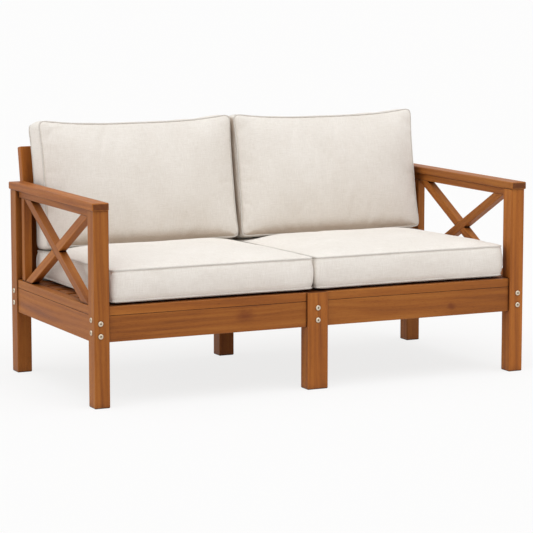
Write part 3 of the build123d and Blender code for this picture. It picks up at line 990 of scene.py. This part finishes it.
# The threads' thick and thin places: their stretch, and their noise's scale, detail and roughness
WARP_STRETCH = (1.0, 0.05, 0.2)
WEFT_STRETCH = (0.05, 1.0, 0.2)
SLUB_NOISE = (820.0, 3.0, 0.6)
SLUB_WEIGHT = 0.80
SLUB_HEIGHT = 1.2
CLOUD_NOISE = (9.0, 3.0)
CLOUD_WEIGHT = 0.20
FABRIC_BUMP = {"Strength": 0.5, "Distance": 0.00022}
FABRIC_FINISH = {"Roughness": 0.92, "Specular IOR Level": 0.25, "Sheen Weight": 0.12,
                 "Sheen Roughness": 0.5}
# The turns that bring the threads of each part of a cover to X and Y
LEVEL_TURN = (0.0, 0.0, 0.0)
UPRIGHT_TURN = (pi / 2, 0.0, 0.0)
SIDE_TURN = (0.0, pi / 2, 0.0)
LEANING_TURN = (pi / 2 + LEAN, 0.0, 0.0)
TOP_TURN = (LEAN, 0.0, 0.0)
WELT_TURN = (0.4, 0.5, pi / 4)


def fabric_material(name, turn, tone, shade_reach=0.0):
    """Plain-woven linen-like cloth. Its threads run along X and Y after the turn."""
    material, tree = empty_material(name)
    cloth = placed_coordinates(tree, turn, WEAVE_SHIFT)
    bands = [make(tree, "ShaderNodeTexWave",
                  {"Vector": cloth, "Scale": WAVE_LENGTH / THREAD, **WEAVE_WAVER},
                  wave_type="BANDS", bands_direction=axis, wave_profile="SIN").outputs["Fac"]
             for axis in ("X", "Y")]
    over = make(tree, "ShaderNodeTexChecker",
                {"Vector": cloth, "Scale": 1 / THREAD}).outputs["Fac"]
    weave = make(tree, "ShaderNodeMix", {0: over, 2: bands[0], 3: bands[1]},
                 data_type="FLOAT").outputs[0]
    warp = noise_value(tree, scaled(tree, cloth, WARP_STRETCH), *SLUB_NOISE)
    weft = noise_value(tree, scaled(tree, cloth, WEFT_STRETCH), *SLUB_NOISE)
    slub = link_math(tree, "MULTIPLY", link_math(tree, "ADD", warp, weft), 0.5)
    cloud = noise_value(tree, cloth, *CLOUD_NOISE)
    shade = weighted(tree, ((slub, SLUB_WEIGHT), (cloud, CLOUD_WEIGHT)))
    colour = ramp(tree, shade, [(position, thread * tone) for position, thread in FABRIC_TONES])
    gaps = link_math(tree, "MULTIPLY", steps(tree, weave, *WEAVE_GAPS), GAP_SHARE)
    colour = blended(tree, "MULTIPLY", gaps, colour, GAP_SHADE)
    # Painted shade where the cloth is shut in
    if shade_reach:
        fold_shade = shut_in(tree, shade_reach, FOLD_SHARES)
        colour = blended(tree, "MULTIPLY", fold_shade, colour, FOLD_PAINTED_SHADE)
    height = link_math(tree, "ADD", weave, link_math(tree, "MULTIPLY", slub, SLUB_HEIGHT))
    bump = make(tree, "ShaderNodeBump", {**FABRIC_BUMP, "Height": height})
    shader = make(tree, "ShaderNodeBsdfPrincipled",
                  {"Base Color": colour, "Normal": bump.outputs["Normal"], **FABRIC_FINISH})
    make(tree, "ShaderNodeOutputMaterial", {"Surface": shader.outputs[0]})
    return material


def seat_place(side):
    """From a seat cushion's own frame to its place on the slats."""
    return Matrix.Translation((side * CUSHION_ACROSS, SEAT_FRONT + CENTRE_SHIFT,
                               SEAT_TOP + SEAT_GAP))


def back_place(side):
    """From the cushion's own frame, lying on its rear face, to the leaning back."""
    up = Vector((0, sin(LEAN), cos(LEAN)))
    front = Vector((0, -cos(LEAN), sin(LEAN)))
    foot = Vector((side * CUSHION_ACROSS, REAR_RAIL_FRONT + CENTRE_SHIFT, SEAT_TOP))
    foot += up * BACK_FOOT + front * BACK_GAP
    turn = Matrix((Vector((-1, 0, 0)), up, front)).transposed().to_4x4()
    return Matrix.Translation(foot) @ turn


def add_cushions():
    """The four cushions. Their materials are in the order of the cover's parts."""
    level = [fabric_material("seat_panel", LEVEL_TURN, 1.0),
             fabric_material("seat_band_front", UPRIGHT_TURN, 1.0),
             fabric_material("seat_band_side", SIDE_TURN, 1.0)]
    # The back panel and side bands get painted shade where they are shut in, and the side bands
    # painted light
    leaning = [fabric_material("back_panel", LEANING_TURN, 1.0, FOLD_REACH),
               fabric_material("back_band_top", TOP_TURN, 1.0),
               fabric_material("back_band_side", SIDE_TURN, SIDE_BAND_PAINTED_LIGHT, GAP_REACH)]
    cord = fabric_material("welt", WELT_TURN, WELT_PAINTED_SHADE)
    for side, word in ((-1, "left"), (1, "right")):
        cushion(word, "seat", SEAT_FORM, seat_place(side), level, cord)
        cushion(word, "back", BACK_FORM, back_place(side), leaning, cord)


# The scene

scene.view_settings.view_transform = "Standard"
add_camera()
add_world()
add_floor()
for lamp_name, lamp_facts in SUNS.items():
    add_sun(lamp_name, *lamp_facts)
dress_wood()
steel = steel_material()
bolts("connector_bolt_set", "connector_bolts", connector_places(), CONNECTOR_SHANK, steel)
bolts("post_bolt_set", "back_post_bolts", post_places(), POST_SHANK, steel)
nodes["barrel_nuts"].data.materials.clear()
nodes["barrel_nuts"].data.materials.append(steel)
add_cushions()
